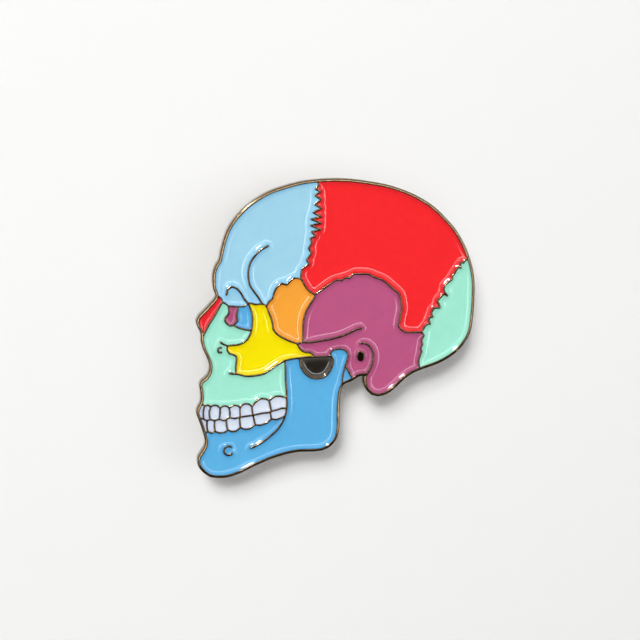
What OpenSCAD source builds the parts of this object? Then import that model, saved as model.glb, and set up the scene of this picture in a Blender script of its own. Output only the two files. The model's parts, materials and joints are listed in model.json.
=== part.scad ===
// Hard-plated skull lapel pin, seen from its left side: a die-struck metal plate with raised lines,
// one fill of coloured enamel in each cell between them, two posts on the back, and a butterfly
// clutch on each post. +Z points out of the enamelled face, +Y to the crown, +X to the nape.
// The origin is under the middle of the pin, on the surface that the clutches' wings rest on.

/* [Plate] */
// Width of the skull, nose to nape
skull_w = 34; // [28:0.5:48]
// Height of the skull, chin to crown
skull_h = 36; // [30:0.5:50]
// Thickness of the plate, from its back to the tops of the raised lines
plate_t = 1.6; // [1.2:0.1:3]
// Width of the raised lines between cells
line_w = 0.24; // [0.15:0.01:0.32]
// Metal outside the middle of the edge line
rim_out = 0.24; // [0.15:0.01:0.6]

/* [Enamel] */
// Depth of the cells that hold the enamel
cell_depth = 0.45; // [0.3:0.05:0.7]
// How far the enamel ends below the tops of the raised lines
enamel_drop = 0.08; // [0.02:0.01:0.2]

/* [Posts] */
// Distance between the two posts
post_span = 14.5; // [13:0.5:20]
// Height of the posts above the middle of the plate
post_y = 3; // [-2:0.5:5]
// Diameter of a post
post_d = 1.1; // [0.9:0.05:1.35]
// Length of a post, from the plate's back to its point
post_len = 8; // [7.5:0.5:10]
// Length of a post's point
point_len = 0.8; // [0.4:0.1:1.2]
// Diameter of a post's soldered head
head_d = 4.6; // [3:0.1:6]
// Thickness of a post's head
head_t = 0.5; // [0.3:0.05:0.8]
// Depth of the seat for a head in the plate's back
seat_depth = 0.2; // [0.1:0.05:0.4]
// Gap for solder around a head
solder_gap = 0.05; // [0.02:0.01:0.2]
// Diameter of the groove that the clutch's jaws spring into
groove_d = 0.76; // [0.6:0.02:0.78]
// Width of that groove
groove_w = 0.6; // [0.55:0.05:0.8]

/* [Clutches] */
// Room for cloth between the plate and a clutch
cloth_gap = 2.5; // [2.5:0.1:3]
// Diameter of a clutch's base
base_d = 11.3; // [9:0.1:12.5]
// Thickness of the base's sheet
base_t = 0.35; // [0.25:0.05:0.5]
// Height of the base's turned-back edge
edge_h = 0.95; // [0.6:0.05:1.3]
// Hole in the base, over the post's diameter
bore_gap = 0.2; // [0.1:0.05:0.3]
// Number of gripping nibs on the base
nibs = 6; // [3:1:8]
// Height of a nib
nib_h = 0.4; // [0.2:0.05:0.45]
// Outer diameter of the base's collar
collar_d = 5.2; // [4.8:0.1:5.6]
// Height of the base's collar
collar_h = 1.05; // [0.8:0.05:1.1]
// Thickness of the collar and the cap
sheet_t = 0.3; // [0.2:0.05:0.35]
// Radial gap between the collar and the cap that turns on it
turn_gap = 0.05; // [0.02:0.01:0.1]
// Height of the cap
cap_h = 4.1; // [3.9:0.1:5]
// Diameter of the cap's brim
brim_d = 7.4; // [6.6:0.1:9]

/* [Wings] */
// Thickness of the wings' spring strip
strip_t = 0.25; // [0.2:0.01:0.3]
// Width of a jaw
jaw_w = 2.4; // [2:0.1:2.6]
// Width of a wing's ear
ear_w = 4.8; // [3.6:0.1:5.6]
// Distance from the post's axis to the upright part of a jaw
upright_y = 1.43; // [1.35:0.01:1.5]
// Gap between a jaw's lip and the post
grip_gap = 0.03; // [0.02:0.01:0.1]
// Distance from the plate's back to the jaws' lips
jaw_reach = 4.6; // [4.5:0.1:5]

/* [Hidden] */
TEETH_UP = 8;
TEETH_LOW = 7;
FILLS = ["frontal", "parietal", "occipital", "temporal", "sphenoid", "zygomatic", "nasal",
    "lacrimal", "orbit", "maxilla", "mandible", "styloid", "notch"];
SIDES = ["left", "right"];

metal = "#3b342c";
brass = "#c9a24a";
spring_steel = "#b9b6ae";
tooth_white = "#dce6f4";
COLOURS = ["#a5d8ee", "#ff2f33", "#a4eed6", "#c05a86", "#ffab40", "#ffe900", "#f2454b", "#b9628a",
    "#62b6e8", "#a4eed6", "#60b8ea", "#60b8ea", "#2b2419"];

// The outline is drawn at this size, about this middle, and stretched to skull_w by skull_h
drawn = [34, 36];
middle = [0.18, -0.13];
stretch = [skull_w / drawn.x, skull_h / drawn.y];
function place(p) = [(p.x - middle.x) * stretch.x, (p.y - middle.y) * stretch.y];

// ---- Curves -------------------------------------------------------------------------------

// Length of the straight steps that a curve is drawn in
curve_step = 0.6;

// A point between b and c on the smooth curve through a, b, c and d (Catmull and Rom's spline)
function between(a, b, c, d, t) =
    0.5 * (2 * b + (c - a) * t + (2 * a - 5 * b + 4 * c - d) * t * t
        + (3 * b - a - 3 * c + d) * t * t * t);

// The steps from p[i] up to, but not on, p[i + 1]
function span(p, i, before, after) =
    let (a = i > 0 ? p[i - 1] : before,
        d = i < len(p) - 2 ? p[i + 2] : after,
        steps = max(1, round(norm(p[i + 1] - p[i]) / curve_step)))
    [for (k = [0 : steps - 1]) between(a, p[i], p[i + 1], d, k / steps)];

// A smooth line through the points of p
function curve(p) = concat(
    [for (i = [0 : len(p) - 2]) each span(p, i, p[0], p[len(p) - 1])],
    [p[len(p) - 1]]
);

function reversed(p) = [for (i = [len(p) - 1 : -1 : 0]) p[i]];

// A closed outline from lines that each end where the next one starts
function loop(lines) = [for (l = lines) for (i = [0 : len(l) - 2]) l[i]];

// Part of a circle as a line
function arc(c, r, from, to) =
    let (steps = ceil(abs(to - from) / 15))
    [for (k = [0 : steps]) let (a = from + (to - from) * k / steps) c + r * [cos(a), sin(a)]];

// The outline of a band of width w along the line p, mitred at its corners
function side(p, i) =
    let (u = p[min(i + 1, len(p) - 1)] - p[min(i, len(p) - 2)],
        v = p[max(i, 1)] - p[max(i - 1, 0)],
        n = [-u.y, u.x] / norm(u), m = [-v.y, v.x] / norm(v))
    (n + m) / (1 + n * m);
function band(p, w) = concat(
    [for (i = [0 : len(p) - 1]) p[i] + side(p, i) * w / 2],
    [for (i = [len(p) - 1 : -1 : 0]) p[i] - side(p, i) * w / 2]
);

// ---- The skull's edge, clockwise from the root of the nose ----------------------------------

EDGE = [
    // forehead
    [[-14.1, 4.05], [-14.4, 4.9], [-14.5, 5.9], [-14.4, 6.9], [-14.15, 7.6], [-13.75, 8.2],
        [-13.55, 9.1], [-13.1, 10.8], [-12.5, 12.2], [-11.5, 13.55], [-10, 14.9], [-8, 16.1],
        [-6, 16.8], [-4, 17.3]],
    // vault
    [[-2.1, 17.52], [0, 17.6], [2, 17.5], [4, 17.22], [6, 16.85], [8, 16.25], [10, 15.35],
        [12, 14.05], [14, 12.05], [15, 10.7], [15.8, 9.2]],
    // nape
    [[16.3, 7.9], [16.7, 6.5], [16.9, 5], [16.9, 3], [16.8, 1.2], [16.6, -0.4], [16.2, -1.6],
        [15.2, -2.95], [14, -3.9], [12.4, -4.7]],
    // mastoid and styloid
    [[10.4, -5.35], [9.2, -5.9], [8.4, -6.45], [7.6, -7.2], [6.8, -7.9], [6, -8.33], [5.3, -8.45],
        [4.6, -8.25], [4.1, -7.8], [3.8, -7.1], [3.75, -6.4], [3.9, -5.85], [3.3, -5.85],
        [2.7, -6]],
    [[2.1, -6.4], [1.5, -6.65]],
    // jaw
    [[0.85, -6.95], [0.5, -8], [0.35, -9.2], [0.3, -10.5], [0.3, -12], [0.2, -13], [-0.1, -13.85],
        [-0.7, -14.5], [-1.5, -14.9], [-2.6, -15.02], [-4, -15], [-5, -15.05], [-6.5, -15.35],
        [-8, -15.8], [-10, -16.6], [-11.5, -17.3], [-13, -17.8], [-14.2, -17.88],
        [-15.2, -17.7], [-16, -17.1], [-16.5, -16.35], [-16.5, -15.65], [-16.15, -15.05],
        [-15.7, -14.3], [-15.57, -13.5]],
    // lower and upper teeth
    [[-15.8, -12.5], [-16.1, -11.5]],
    [[-16.4, -10.65], [-16.6, -10], [-16.45, -9.5]],
    // maxilla
    [[-16.12, -8.9], [-16.05, -8], [-16.1, -7.2], [-16.2, -6.7], [-16, -6.3], [-15.5, -5.9],
        [-15.1, -5.3], [-14.95, -4.6], [-15, -4], [-15.3, -3.2], [-15.75, -2.15], [-15.95, -1.3]],
    // nasal bone
    [[-15.93, -0.7], [-16.1, -0.05], [-16.4, 0.55], [-16.5, 1.05], [-16.2, 1.6], [-15.5, 2.3],
        [-14.8, 3.05], [-14.35, 3.55]]
];
edge = [for (part = EDGE) each part];
starts = [for (i = [0 : len(EDGE)]) len([for (k = [0 : 1 : i - 1]) each EDGE[k]])];

// The stretch of the edge from the start of one part to the start of the next
function edge_run(part) =
    let (n = len(edge), run = [for (i = [starts[part] - 1 : starts[part + 1] + 1])
            edge[(i + n) % n]])
    concat(
        [for (i = [1 : len(run) - 3]) each span(run, i, run[0], run[len(run) - 1])],
        [run[len(run) - 2]]
    );

forehead = edge_run(0);
vault = edge_run(1);
nape = edge_run(2);
mastoid = edge_run(3);
styloid_edge = edge_run(4);
jaw = edge_run(5);
lower_teeth_edge = edge_run(6);
upper_teeth_edge = edge_run(7);
maxilla_edge = edge_run(8);
nasal_edge = edge_run(9);

// ---- Where three lines meet ------------------------------------------------------------------

nasion = EDGE[0][0];
bregma = EDGE[1][0];
lambda = EDGE[2][0];
nape_foot = EDGE[3][0];
styloid_back = EDGE[4][0];
styloid_foot = EDGE[5][0];
lower_gum_front = EDGE[6][0];
bite_front = EDGE[7][0];
upper_gum_front = EDGE[8][0];
nasal_foot = EDGE[9][0];
pterion = [-4.2, 5.95];
squamous_foot = [-2.45, 3.95];
sphenoid_foot = [-3.95, -1.75];
arch_root = [-4.65, -1.9];
arch_end = [-2.4, -3.57];
asterion = [10.65, -0.88];
brow_end = [-8.35, 2.75];
orbit_corner = [-10.5, 3.1];
lacrimal_top = [-11.8, 2.75];
lacrimal_front = [-12.9, 2.85];
nasal_root = [-13.6, 3.3];
lacrimal_foot = [-12.3, 0.5];
orbit_foot = [-10.15, -0.15];
cheek_top = [-13.05, -1.95];
cheek_foot = [-12.05, -5.4];
notch_front = [-4.4, -3.68];
ramus_top = [-6.1, -3.95];
condyle_front = [-0.5, -3.55];
condyle_neck = [1.25, -4.75];
upper_gum_back = [-5.92, -8.5];
bite_back = [-5.93, -9.8];
lower_gum_back = [-6.15, -10.75];

// ---- Sutures and bone edges ------------------------------------------------------------------

coronal = curve([bregma, [-2.05, 17], [-2.4, 16.65], [-1.8, 16.3], [-2.45, 15.9], [-1.75, 15.35],
    [-2.45, 14.8], [-1.7, 14.3], [-2.65, 13.85], [-1.75, 13.32], [-2.9, 13.05], [-1.75, 12.55],
    [-2.95, 12.3], [-1.8, 11.78], [-2.85, 11.55], [-2.4, 11], [-3, 10.75], [-2.85, 10.25],
    [-3.2, 9.55], [-2.9, 9], [-3.45, 8.2], [-3.2, 7.7], [-4, 7.1], [-4.15, 6.4], pterion]);
frontal_sphenoid = curve([pterion, [-5, 6], [-5.5, 5.6], [-5.85, 5.25], [-6.5, 5.4], [-7.1, 4.9],
    [-7.4, 4.3], [-7.6, 3.65], [-8, 3.25], brow_end]);
frontal_zygomatic = curve([brow_end, [-8.8, 3], [-9.65, 2.95], [-10.1, 3.1], orbit_corner]);
orbit_roof = curve([orbit_corner, [-11.05, 2.75], lacrimal_top]);
lacrimal_roof = curve([lacrimal_top, [-12.45, 2.8], lacrimal_front]);
nasal_frontal_gap = curve([lacrimal_front, [-13.3, 3.2], nasal_root]);
nasal_top = curve([nasal_root, [-13.75, 3.8], nasion]);
nasal_side = curve([nasal_root, [-13.8, 3], [-14.35, 2], [-14.85, 1.2], [-15.25, 0.6],
    [-15.6, -0.1], nasal_foot]);
sphenoid_parietal = curve([pterion, [-4, 5.7], [-3.65, 5.05], [-3.15, 4.4], squamous_foot]);
sphenoid_temporal = curve([squamous_foot, [-2.55, 3.6], [-3.1, 2.75], [-3.55, 1.95], [-3.8, 1.1],
    [-3.9, 0.2], [-3.9, -0.8], sphenoid_foot]);
sphenoid_base = curve([sphenoid_foot, arch_root]);
sphenoid_zygomatic = curve([arch_root, [-5.5, -1.6], [-6.1, -1.3], [-6.65, -1], [-7.15, -0.6],
    [-7.5, -0.1], [-7.6, 0.6], [-7.75, 1.25], [-8.05, 1.95], brow_end]);
arch_top = curve([arch_root, [-4.4, -2.35], [-4.1, -2.75], [-3.6, -3], [-3.1, -3.05],
    [-2.75, -3.3], arch_end]);
arch_over_notch = curve([arch_end, [-3, -3.57], [-3.7, -3.6], notch_front]);
arch_over_ramus = curve([notch_front, [-5.2, -3.75], ramus_top]);
arch_over_maxilla = curve([ramus_top, [-6.8, -4.3], [-7.4, -4.7], [-8, -5.1], [-8.6, -5.45],
    [-9.2, -5.6], [-10, -5.7], [-10.9, -5.7], [-11.6, -5.5], cheek_foot]);
cheek_front = curve([cheek_foot, [-12.05, -4.6], [-11.95, -3.6], [-12, -3.25], [-12.35, -3.05],
    [-12.8, -2.9], [-13.05, -2.5], cheek_top]);
cheek_upper = curve([cheek_top, [-12.3, -1.9], [-11.7, -1.85], [-11.05, -1.6], [-10.6, -1.2],
    [-10.3, -0.65], orbit_foot]);
orbit_side = curve([orbit_foot, [-10.05, 0.5], [-10, 1.25], [-10.1, 2], [-10.3, 2.6],
    orbit_corner]);
orbit_floor = curve([orbit_foot, [-10.9, -0.05], [-11.7, 0.2], lacrimal_foot]);
lacrimal_back = curve([lacrimal_top, [-11.75, 2.4], [-11.85, 1.9], [-11.85, 1.5], [-11.8, 1.05],
    [-12.05, 0.75], lacrimal_foot]);
lacrimal_nose = curve([lacrimal_foot, [-12.65, 0.45], [-13.05, 0.7], [-13.3, 1.05],
    [-13.25, 1.45], [-12.95, 1.8], [-12.8, 2.2], [-12.85, 2.6], lacrimal_front]);
squamosal = curve([squamous_foot, [-1.85, 4.4], [-1.05, 4.95], [-0.3, 5.4], [0.2, 5.7],
    [0.75, 5.65], [1.25, 5.95], [1.75, 5.9], [2.2, 6.35], [3.1, 6.35], [4.1, 6.3], [4.75, 5.95],
    [5.6, 5.65], [6.2, 5.25], [6.85, 4.65], [7.4, 4.2], [7.8, 3.85], [7.95, 3.3], [8.1, 2.6],
    [8.15, 1.9], [8, 1.35], [7.9, 0.6], [7.75, -0.05], [8.15, -0.55], [8.65, -0.85], [9.5, -0.9],
    asterion]);
lambdoid = curve([asterion, [10.9, -0.4], [11.2, 0], [11.65, 0.1], [11.5, 0.6], [11.65, 0.9],
    [12, 0.95], [11.8, 1.4], [12.1, 2], [12.85, 2.05], [12.75, 2.45], [12.55, 2.85], [13.1, 3.5],
    [13.4, 3.7], [13.75, 3.5], [13.35, 4.1], [13.4, 4.65], [13.9, 5.15], [14.35, 5.5],
    [14.35, 5.85], [14.65, 6.2], [14.9, 6.7], [15.15, 6.95], [15.4, 6.85], [15.35, 7.3],
    [15.45, 7.55], [15.7, 7.45], [16, 7.8], lambda]);
mastoid_suture = curve([asterion, [10.9, -1.3], [10.65, -1.9], [10.75, -2.4], [10.55, -2.9],
    [10.65, -3.3], [10.45, -3.8], [10.3, -4.45], nape_foot]);
notch_top = curve([arch_end, [-1.45, -3.58], condyle_front]);
notch_edge = curve([notch_front, [-4.3, -4.1], [-4.2, -4.7], [-3.95, -5.2], [-3.5, -5.75],
    [-2.9, -6.15], [-2.25, -6.25], [-1.5, -6.15], [-0.95, -5.8], [-0.6, -5.3], [-0.3, -4.6],
    [-0.25, -4], condyle_front]);
condyle = curve([condyle_front, [-0.6, -3.2], [-0.3, -2.85], [0.2, -2.72], [0.8, -2.72],
    [1.35, -3], [1.58, -3.45], [1.45, -4.1], condyle_neck]);
styloid_front = curve([condyle_neck, [1.1, -5.3], [0.95, -6], styloid_foot]);
styloid_rear = curve([condyle_neck, [1.7, -5.6], styloid_back]);
ramus_over_maxilla = curve([ramus_top, [-6.05, -5], [-6.05, -6], [-6, -7], [-5.93, -7.8],
    upper_gum_back]);
ramus_behind_uppers = curve([upper_gum_back, [-5.88, -9.1], bite_back]);
ramus_behind_lowers = curve([bite_back, [-6, -10.3], lower_gum_back]);

// ---- Teeth: the gum line over each tooth, the line between the rows, and the gaps --------------

UPPER_GUMS = [
    [upper_gum_front, [-15.85, -9.2]],
    [[-15.85, -9.2], [-15.45, -9.08], [-15.1, -9.27]],
    [[-15.1, -9.27], [-14.7, -9.14], [-14.3, -9.2], [-13.97, -9.5]],
    [[-13.97, -9.5], [-13.55, -9.25], [-13.1, -9.33], [-12.9, -9.53]],
    [[-12.9, -9.53], [-12.35, -9.22], [-11.8, -9.3], [-11.57, -9.53]],
    [[-11.57, -9.53], [-11.3, -9.2], [-10.9, -9.07], [-10.45, -9.15], [-10.15, -9.45]],
    [[-10.15, -9.45], [-9.65, -8.87], [-9, -8.5], [-8.4, -8.57], [-8.05, -8.78]],
    [[-8.05, -8.78], [-7.4, -8.32], [-6.85, -8.25], [-6.4, -8.35], upper_gum_back]
];
LOWER_GUMS = [
    [lower_gum_front, [-15.5, -12.3]],
    [[-15.5, -12.3], [-15.05, -12.53], [-14.6, -12.32]],
    [[-14.6, -12.32], [-14.1, -12.53], [-13.45, -12.48], [-13.07, -12.2]],
    [[-13.07, -12.2], [-12.6, -12.42], [-12.05, -12.35], [-11.55, -11.97]],
    [[-11.55, -11.97], [-11.05, -12.18], [-10.4, -12.13], [-9.75, -11.72]],
    [[-9.75, -11.72], [-9.15, -11.75], [-8.4, -11.53], [-7.77, -11.05]],
    [[-7.77, -11.05], [-7.15, -11.13], [-6.5, -10.9], lower_gum_back]
];
bite = curve([bite_front, [-16, -10.75], [-15.6, -11], [-15.2, -10.85], [-14.7, -11],
    [-14.1, -10.87], [-13.5, -11.05], [-12.9, -10.72], [-12.2, -10.83], [-11.6, -10.68],
    [-10.9, -10.6], [-10, -10.5], [-8.9, -10.3], [-8, -10.22], [-7.75, -10.08], [-7.1, -9.93],
    [-6.5, -9.77], bite_back]);
UPPER_GAPS = [
    [[-15.85, -9.2], [-16, -9.9], [-15.98, -10.75]],
    [[-15.1, -9.27], [-15.28, -9.9], [-15.22, -10.85]],
    [[-13.97, -9.5], [-14, -10.2], [-14.1, -10.87]],
    [[-12.9, -9.53], [-12.8, -10.1], [-12.82, -10.75]],
    [[-11.57, -9.53], [-11.57, -10.1], [-11.57, -10.68]],
    [[-10.15, -9.45], [-10.1, -10], [-10, -10.5]],
    [[-8.05, -8.78], [-7.92, -9.4], [-7.78, -10.1]]
];
LOWER_GAPS = [
    [[-15.57, -11], [-15.57, -11.75], [-15.5, -12.3]],
    [[-14.65, -11], [-14.68, -11.65], [-14.6, -12.32]],
    [[-13.25, -10.9], [-13.2, -11.65], [-13.07, -12.2]],
    [[-11.65, -10.7], [-11.6, -11.4], [-11.55, -11.97]],
    [[-10, -10.5], [-9.85, -11.25], [-9.75, -11.72]],
    [[-7.9, -10.2], [-7.85, -10.65], [-7.77, -11.05]]
];
upper_gum = concat(loop([for (g = UPPER_GUMS) curve(g)]), [upper_gum_back]);
lower_gum = concat(loop([for (g = LOWER_GUMS) curve(g)]), [lower_gum_back]);

// ---- Cells, as closed outlines along the middles of the lines ---------------------------------

frontal_cell = loop([forehead, coronal, frontal_sphenoid, frontal_zygomatic, orbit_roof,
    lacrimal_roof, nasal_frontal_gap, nasal_top]);
parietal_cell = loop([vault, reversed(lambdoid), reversed(squamosal),
    reversed(sphenoid_parietal), reversed(coronal)]);
occipital_cell = loop([nape, reversed(mastoid_suture), lambdoid]);
temporal_cell = loop([squamosal, mastoid_suture, mastoid, reversed(styloid_rear),
    reversed(condyle), reversed(notch_top), reversed(arch_top), reversed(sphenoid_base),
    reversed(sphenoid_temporal)]);
sphenoid_cell = loop([sphenoid_parietal, sphenoid_temporal, sphenoid_base, sphenoid_zygomatic,
    reversed(frontal_sphenoid)]);
zygomatic_cell = loop([reversed(sphenoid_zygomatic), arch_top, arch_over_notch, arch_over_ramus,
    arch_over_maxilla, cheek_front, cheek_upper, orbit_side, reversed(frontal_zygomatic)]);
nasal_cell = loop([nasal_edge, reversed(nasal_top), nasal_side]);
lacrimal_cell = loop([reversed(lacrimal_roof), lacrimal_back, lacrimal_nose]);
orbit_cell = loop([reversed(orbit_roof), reversed(orbit_side), orbit_floor,
    reversed(lacrimal_back)]);
maxilla_cell = loop([reversed(nasal_frontal_gap), reversed(lacrimal_nose), reversed(orbit_floor),
    reversed(cheek_upper), reversed(cheek_front), reversed(arch_over_maxilla),
    ramus_over_maxilla, reversed(upper_gum), maxilla_edge,
    reversed(nasal_side)]);
uppers_cell = loop([upper_gum, ramus_behind_uppers, reversed(bite),
    upper_teeth_edge]);
lowers_cell = loop([bite, ramus_behind_lowers, reversed(lower_gum),
    lower_teeth_edge]);
mandible_cell = loop([reversed(arch_over_ramus), notch_edge, condyle, styloid_front, jaw,
    lower_gum, reversed(ramus_behind_lowers),
    reversed(ramus_behind_uppers), reversed(ramus_over_maxilla)]);
notch_cell = loop([reversed(arch_over_notch), notch_top, reversed(notch_edge)]);
styloid_cell = loop([styloid_rear, styloid_edge, reversed(styloid_front)]);
CELLS = [frontal_cell, parietal_cell, occipital_cell, temporal_cell, sphenoid_cell,
    zygomatic_cell, nasal_cell, lacrimal_cell, orbit_cell, maxilla_cell, mandible_cell,
    styloid_cell, notch_cell];

// ---- Lines that end inside a cell --------------------------------------------------------------

FREE_LINES = [
    // edge of the brow over the eye
    curve([[-13.1, 4.2], [-12.95, 4.85], [-12.45, 5.15], [-11.9, 4.95], [-11.4, 4.4],
        [-10.95, 3.6], orbit_corner]),
    // temporal line
    curve([[-8.1, 9.95], [-8.9, 9.5], [-9.65, 8.8], [-10.2, 8], [-10.45, 7.05], [-10.45, 6.1],
        [-10.3, 5.3], [-9.9, 4.65], [-9.4, 3.95], [-8.8, 3]]),
    // ridge from the arch's root back over the ear
    curve([sphenoid_foot, [-3, -1.8], [-1.85, -1.65], [-0.8, -1.5], [0.2, -1.3], [1.2, -1],
        [2.2, -0.55], [2.8, -0.3], [3.2, -0.25]]),
    // hollow behind the ear
    curve([[3.15, -2.1], [3.6, -2.1], [4.1, -2.35], [4.5, -2.85], [4.67, -3.5], [4.65, -4.2],
        [4.4, -5], [4.1, -5.6], [3.9, -5.85]]),
    // oblique line of the jaw
    curve([lower_gum_back, [-6.4, -11.4], [-7, -12.3], [-7.75, -13], [-8.65, -13.7],
        [-9.5, -14.2], [-10.3, -14.55]]),
    // creases at the corners of the cheekbone
    curve([cheek_top, [-13.45, -1.78], [-13.83, -1.53]]),
    [cheek_foot, [-12.8, -5.3]],
    // small openings for nerves under the eye and in the chin
    arc([-13.87, -2.45], 0.3, 70, 290),
    arc([-13, -14.77], 0.55, 57, 317)
];
ear_centre = [3.12, -3.65];
ear_size = [0.37, 0.53];
ear_canal = [for (a = [0 : 20 : 340])
    ear_centre + [ear_size.x * cos(a), ear_size.y * sin(a)]];

// ---- Heights -----------------------------------------------------------------------------------

// A free line starts as a cut of this width, which the lines' own width then widens
hair = 0.02;
// Stops a cut from ending exactly on a face, and sinks a joined shape into its neighbour
past = 0.1;

post_r = post_d / 2;
head_r = head_d / 2;
collar_r = collar_d / 2;
cap_in_r = collar_r + turn_gap;
cap_out_r = cap_in_r + sheet_t;

// Distances from the plate's back, away from the enamel
cap_start = cloth_gap + base_t + turn_gap;
cap_end = cap_start + cap_h;

// A wing's section, as distances from the post's axis and from the plate's back: the jaw has a lip
// and an upright part, and the ear leaves the cap and curves outwards
ear_root = [upright_y, -cap_end - 0.05];
ear = curve([ear_root, ear_root + [0.75, -0.8], ear_root + [1.9, -1.5], ear_root + [3.1, -1.85],
    ear_root + [3.8, -1.8]]);
jaw_section = [[strip_t / 2 + grip_gap, -jaw_reach], [upright_y, -jaw_reach],
    ear_root - [0, strip_t / 2]];

back_z = -min([for (p = band(ear, strip_t)) p.y]);
top_z = back_z + plate_t;
cell_floor_z = top_z - cell_depth;
enamel_t = cell_depth - enamel_drop;

// ---- Plate and enamel --------------------------------------------------------------------------

module placed(p) {
    polygon([for (q = p) place(q)]);
}

module outline() {
    offset(r = rim_out, $fn = 16) placed(loop([forehead, vault, nape, mastoid, styloid_edge, jaw,
        lower_teeth_edge, upper_teeth_edge, maxilla_edge, nasal_edge]));
}

// What one cell leaves open between the raised lines
module cell() {
    offset(r = -line_w / 2, $fn = 12) difference() {
        children();
        for (l = FREE_LINES) polygon(band([for (p = l) place(p)], hair));
        placed(ear_canal);
    }
}

// A gap between teeth, carried past both ends so that it crosses the whole row
function longer(p) =
    let (n = len(p) - 1, reach = 0.6,
        a = p[0] - p[1], b = p[n] - p[n - 1])
    concat([p[0] + a / norm(a) * reach], p, [p[n] + b / norm(b) * reach]);

// One tooth of a row: the part of the row between two gaps, or between a gap and the row's end
module tooth_cell(row, gaps, i) {
    front = i > 0 ? longer(gaps[i - 1]) : [[-18, -8], [-18, -13]];
    back = i < len(gaps) ? longer(gaps[i]) : [[-5, -8], [-5, -13]];
    cell() intersection() {
        placed(row);
        placed(concat(front, reversed(back)));
    }
}

module fill_cell(i) {
    cell() placed(CELLS[i]);
}

module upper_cell(i) {
    tooth_cell(uppers_cell, UPPER_GAPS, i);
}

module lower_cell(i) {
    tooth_cell(lowers_cell, LOWER_GAPS, i);
}

module struck() {
    translate([0, 0, cell_floor_z]) linear_extrude(cell_depth + past) children();
}

module poured() {
    translate([0, 0, cell_floor_z]) linear_extrude(enamel_t) children();
}

module base_plate() {
    color(metal) difference() {
        translate([0, 0, back_z]) linear_extrude(plate_t) outline();
        for (i = [0 : len(FILLS) - 1]) struck() fill_cell(i);
        for (i = [0 : TEETH_UP - 1]) struck() upper_cell(i);
        for (i = [0 : TEETH_LOW - 1]) struck() lower_cell(i);
        for (side = [0, 1]) at_post(side) translate([0, 0, -past])
            cylinder(h = seat_depth + past, r = head_r + solder_gap, $fn = 96);
    }
}

// ---- Posts and clutches ------------------------------------------------------------------------

// Side 0 is the nose's and side 1 the nape's; the origin moves to the post's axis at the plate's back
module at_post(side) {
    translate([(side - 0.5) * post_span, post_y, back_z]) children();
}

module post(side) {
    groove_start = jaw_reach - groove_w / 2;
    groove_end = jaw_reach + groove_w / 2;
    point_r = 0.12;
    color(metal) at_post(side) rotate_extrude($fn = 96) polygon([
        [0, seat_depth], [head_r, seat_depth], [head_r, seat_depth - head_t],
        [post_r, seat_depth - head_t], [post_r, -groove_start], [groove_d / 2, -groove_start],
        [groove_d / 2, -groove_end], [post_r, -groove_end], [post_r, point_len - post_len],
        [point_r, -post_len], [0, -post_len]
    ]);
}

// A drawn disc with a turned-back edge, a collar for the cap, and nibs that grip the cloth
module clutch_base(side) {
    bend = 0.5;
    rim = base_d / 2;
    bore_r = post_r + bore_gap / 2;
    nib_ring = 0.73 * rim;
    nib_foot_r = 0.32;
    nib_tip_r = 0.1;
    color(brass) at_post(side) translate([0, 0, -cloth_gap]) {
        rotate_extrude($fn = 96) polygon(concat(
            [[bore_r, 0]],
            arc([rim - bend, -bend], bend, 90, 0),
            arc([rim - base_t / 2, base_t / 2 - edge_h], base_t / 2, 0, -180),
            arc([rim - bend, -bend], bend - base_t, 0, 90),
            [[collar_r, -base_t], [collar_r, -base_t - collar_h],
                [collar_r - sheet_t, -base_t - collar_h], [collar_r - sheet_t, -base_t],
                [bore_r, -base_t]]
        ));
        for (i = [0 : nibs - 1]) rotate(360 / nibs * (i + 0.5))
            translate([nib_ring, 0, -base_t / 2])
            cylinder(h = nib_h + base_t / 2, r1 = nib_foot_r, r2 = nib_tip_r, $fn = 24);
    }
}

// A cup that turns on the collar and holds the spring strip, open at its end for the wings
module clutch_cap(side) {
    shoulder = 0.7;
    slot = [jaw_w + 0.4, 2 * upright_y + strip_t + 0.3];
    color(brass) at_post(side) difference() {
        rotate_extrude($fn = 96) polygon(concat(
            [[cap_in_r, -cap_start]],
            arc([brim_d / 2 - sheet_t / 2, -cap_start - sheet_t / 2], sheet_t / 2, 90, -90),
            [[cap_out_r, -cap_start - sheet_t]],
            arc([cap_out_r - shoulder, shoulder - cap_end], shoulder, 0, -90),
            [[0, -cap_end], [0, sheet_t - cap_end]],
            arc([cap_out_r - shoulder, shoulder - cap_end], shoulder - sheet_t, -90, 0)
        ));
        translate([-slot.x / 2, -slot.y / 2, -cap_end - past])
            cube([slot.x, slot.y, sheet_t + 2 * past]);
    }
}

// Extrudes a section, drawn as distances along Y and Z, to both sides of the post's axis
module across(w) {
    rotate([90, 0, 90]) linear_extrude(w, center = true) children();
}

// Half of the spring: its lip grips the post and its ear is pressed to let go
module wing(side, up) {
    root = ear_root.x;
    plan = [[jaw_w / 2, root - strip_t], [jaw_w / 2 + 0.15, root + 0.6], [ear_w / 2 - 0.15, root + 1.7],
        [ear_w / 2, root + 2.5], [ear_w / 2 - 0.3, root + 3.3], [ear_w / 4, root + 3.75],
        [0, root + 3.9]];
    edge_of_ear = curve(plan);
    color(spring_steel) at_post(side) mirror([0, up ? 0 : 1, 0]) {
        difference() {
            across(jaw_w) polygon(band(jaw_section, strip_t));
            translate([0, 0, -jaw_reach - strip_t])
                cylinder(h = 2 * strip_t, r = post_r + grip_gap, $fn = 96);
        }
        intersection() {
            across(ear_w + 2) polygon(band(ear, strip_t));
            translate([0, 0, -back_z - past]) linear_extrude(back_z - cap_end + 1) polygon(concat(
                edge_of_ear, [for (p = reversed(edge_of_ear)) [-p.x, p.y]]
            ));
        }
    }
}

// ---- Nodes -------------------------------------------------------------------------------------

base_plate();

for (i = [0 : len(FILLS) - 1])
    color(COLOURS[i]) poured() fill_cell(i);

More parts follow.
